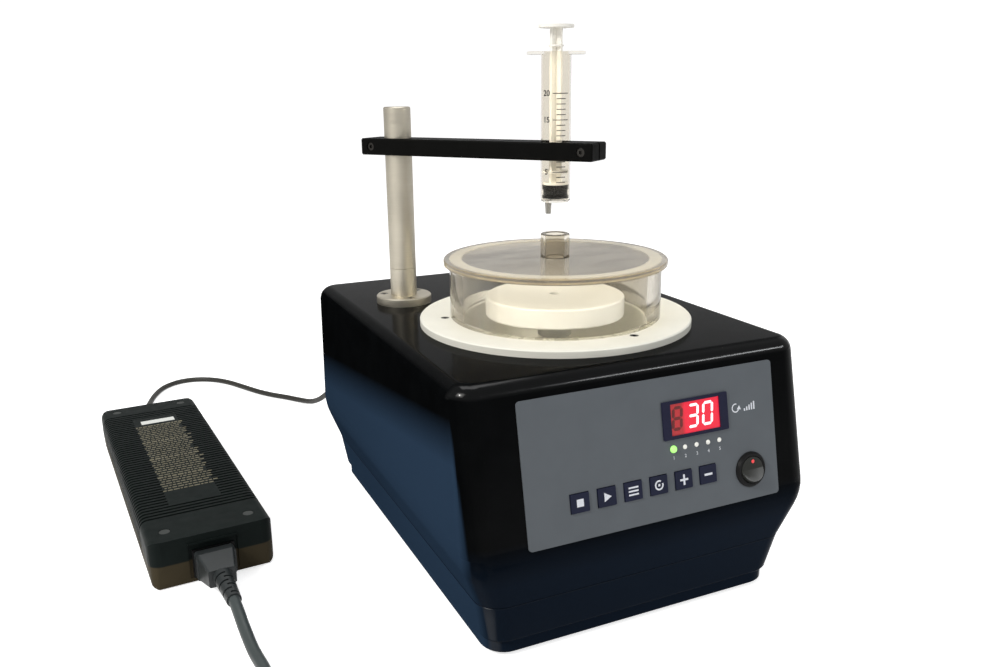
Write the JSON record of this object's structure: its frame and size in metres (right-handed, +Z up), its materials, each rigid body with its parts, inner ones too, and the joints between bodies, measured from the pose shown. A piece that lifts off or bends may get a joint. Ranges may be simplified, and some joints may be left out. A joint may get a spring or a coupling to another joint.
{
  "type": "spin coater",
  "caption": "Bench spin coater: low case with sloped control face, white splash bowl and chuck, clear lift-off lid, syringe on a dispense arm, external power adapter on its cable.",
  "frame": {"origin": "on the bench, under the middle of the housing", "axes": "+Z up, -Y towards the user and the control face, +X to the user's right"},
  "size_m": [0.4279, 0.7487, 0.3726],
  "materials": {
    "cover_black": "polished",
    "foot_rubber": "matt",
    "screw_steel": "satin",
    "bowl_white": "satin",
    "chuck_white": "satin",
    "plate_aluminium": "milled",
    "motor_black": "satin",
    "winding_copper": "varnished",
    "shaft_steel": "ground",
    "lid_clear": "clear",
    "post_silver": "satin",
    "arm_black": "matt",
    "syringe_clear": "clear",
    "plunger_white": "satin",
    "piston_black": "matt",
    "panel_grey": "satin",
    "bezel_navy": "satin",
    "display_red": "glossy",
    "lamp_clear": "glossy",
    "key_navy": "satin",
    "part_black": "satin",
    "board_green": "satin",
    "spacer_brass": "satin",
    "switch_black": "satin",
    "rocker_black": "glossy",
    "socket_metal": "bright",
    "cable_black": "satin",
    "adapter_black": "satin"
  },
  "bodies": {
    "housing": {"upper_cover": "cover_black", "base_tray": "cover_black", "rubber_feet": "foot_rubber", "case_screws": "screw_steel", "splash_bowl": "bowl_white", "bowl_screws": "screw_steel", "motor_plate": "plate_aluminium", "plate_standoffs": "plate_aluminium", "plate_screws": "screw_steel", "motor_can": "motor_black", "motor_end_bell": "plate_aluminium", "motor_stator": "winding_copper", "motor_bearings": "shaft_steel", "motor_screws": "screw_steel", "post_base": "post_silver", "post_base_screws": "screw_steel", "post_backing_plate": "plate_aluminium", "post_stud": "shaft_steel", "front_panel": "panel_grey", "display_bezel": "bezel_navy", "display_module": "display_red", "indicator_lamps": "lamp_clear", "key_switches": "part_black", "control_board": "board_green", "board_spacers": "spacer_brass", "switch_body": "switch_black", "dc_socket": "socket_metal", "driver_board": "board_green", "driver_spacers": "spacer_brass", "heat_sink": "plate_aluminium", "dc_plug": "part_black", "dc_cable": "cable_black", "adapter_case": "adapter_black", "adapter_fittings": "part_black", "mains_connector": "part_black", "mains_cord": "cable_black", "cord_coil": "cable_black", "mains_plug": "part_black"},
    "spindle": {"spindle_shaft": "shaft_steel", "motor_rotor": "shaft_steel", "chuck_hub": "plate_aluminium", "hub_grub_screw": "screw_steel", "chuck": "chuck_white", "chuck_screw": "screw_steel"},
    "lid": {"lid_plate": "lid_clear", "lid_ring": "lid_clear", "lid_spout": "lid_clear"},
    "post": {"post": "post_silver"},
    "arm": {"dispense_arm": "arm_black", "arm_clamp_screws": "screw_steel"},
    "syringe": {"syringe_barrel": "syringe_clear"},
    "plunger": {"syringe_plunger": "plunger_white", "syringe_piston": "piston_black"},
    "key_stop": {"key_stop": "key_navy"},
    "key_run": {"key_run": "key_navy"},
    "key_set": {"key_set": "key_navy"},
    "key_view": {"key_view": "key_navy"},
    "key_plus": {"key_plus": "key_navy"},
    "key_minus": {"key_minus": "key_navy"},
    "rocker": {"switch_rocker": "rocker_black"}
  },
  "joints": [
    {"name": "spindle_spin", "type": "hinge", "parent": "housing", "child": "spindle", "pos_m": [0, -0.0341, 0.1785], "axis": [0, 0, 1], "continuous": true},
    {"name": "lid_lift", "type": "slide", "parent": "housing", "child": "lid", "axis": [0, 0, 1], "range_m": [0, 0.012]},
    {"name": "post_turn", "type": "hinge", "parent": "housing", "child": "post", "pos_m": [-0.077, 0.0694, 0.2], "axis": [0, 0, 1], "range_deg": [-175, 175]},
    {"name": "arm_height", "type": "slide", "parent": "post", "child": "arm", "axis": [0, 0, 1], "range_m": [-0.006, 0.022]},
    {"name": "syringe_height", "type": "slide", "parent": "arm", "child": "syringe", "axis": [0, 0, 1], "range_m": [-0.006, 0.025]},
    {"name": "plunger_draw", "type": "slide", "parent": "syringe", "child": "plunger", "axis": [0, 0, 1], "range_m": [0, 0.07]},
    {"name": "key_stop_press", "type": "slide", "parent": "housing", "child": "key_stop", "axis": [0, 0.9806, -0.1959], "range_m": [0, 0.0004], "stiffness_N_per_m": 1500, "springref_m": -0.0002},
    {"name": "key_run_press", "type": "slide", "parent": "housing", "child": "key_run", "axis": [0, 0.9806, -0.1959], "range_m": [0, 0.0004], "stiffness_N_per_m": 1500, "springref_m": -0.0002},
    {"name": "key_set_press", "type": "slide", "parent": "housing", "child": "key_set", "axis": [0, 0.9806, -0.1959], "range_m": [0, 0.0004], "stiffness_N_per_m": 1500, "springref_m": -0.0002},
    {"name": "key_view_press", "type": "slide", "parent": "housing", "child": "key_view", "axis": [0, 0.9806, -0.1959], "range_m": [0, 0.0004], "stiffness_N_per_m": 1500, "springref_m": -0.0002},
    {"name": "key_plus_press", "type": "slide", "parent": "housing", "child": "key_plus", "axis": [0, 0.9806, -0.1959], "range_m": [0, 0.0004], "stiffness_N_per_m": 1500, "springref_m": -0.0002},
    {"name": "key_minus_press", "type": "slide", "parent": "housing", "child": "key_minus", "axis": [0, 0.9806, -0.1959], "range_m": [0, 0.0004], "stiffness_N_per_m": 1500, "springref_m": -0.0002},
    {"name": "rocker_tilt", "type": "hinge", "parent": "housing", "child": "rocker", "pos_m": [0.0744, -0.16363, 0.0945], "axis": [1, 0, 0], "range_deg": [0, 24]}
  ]
}
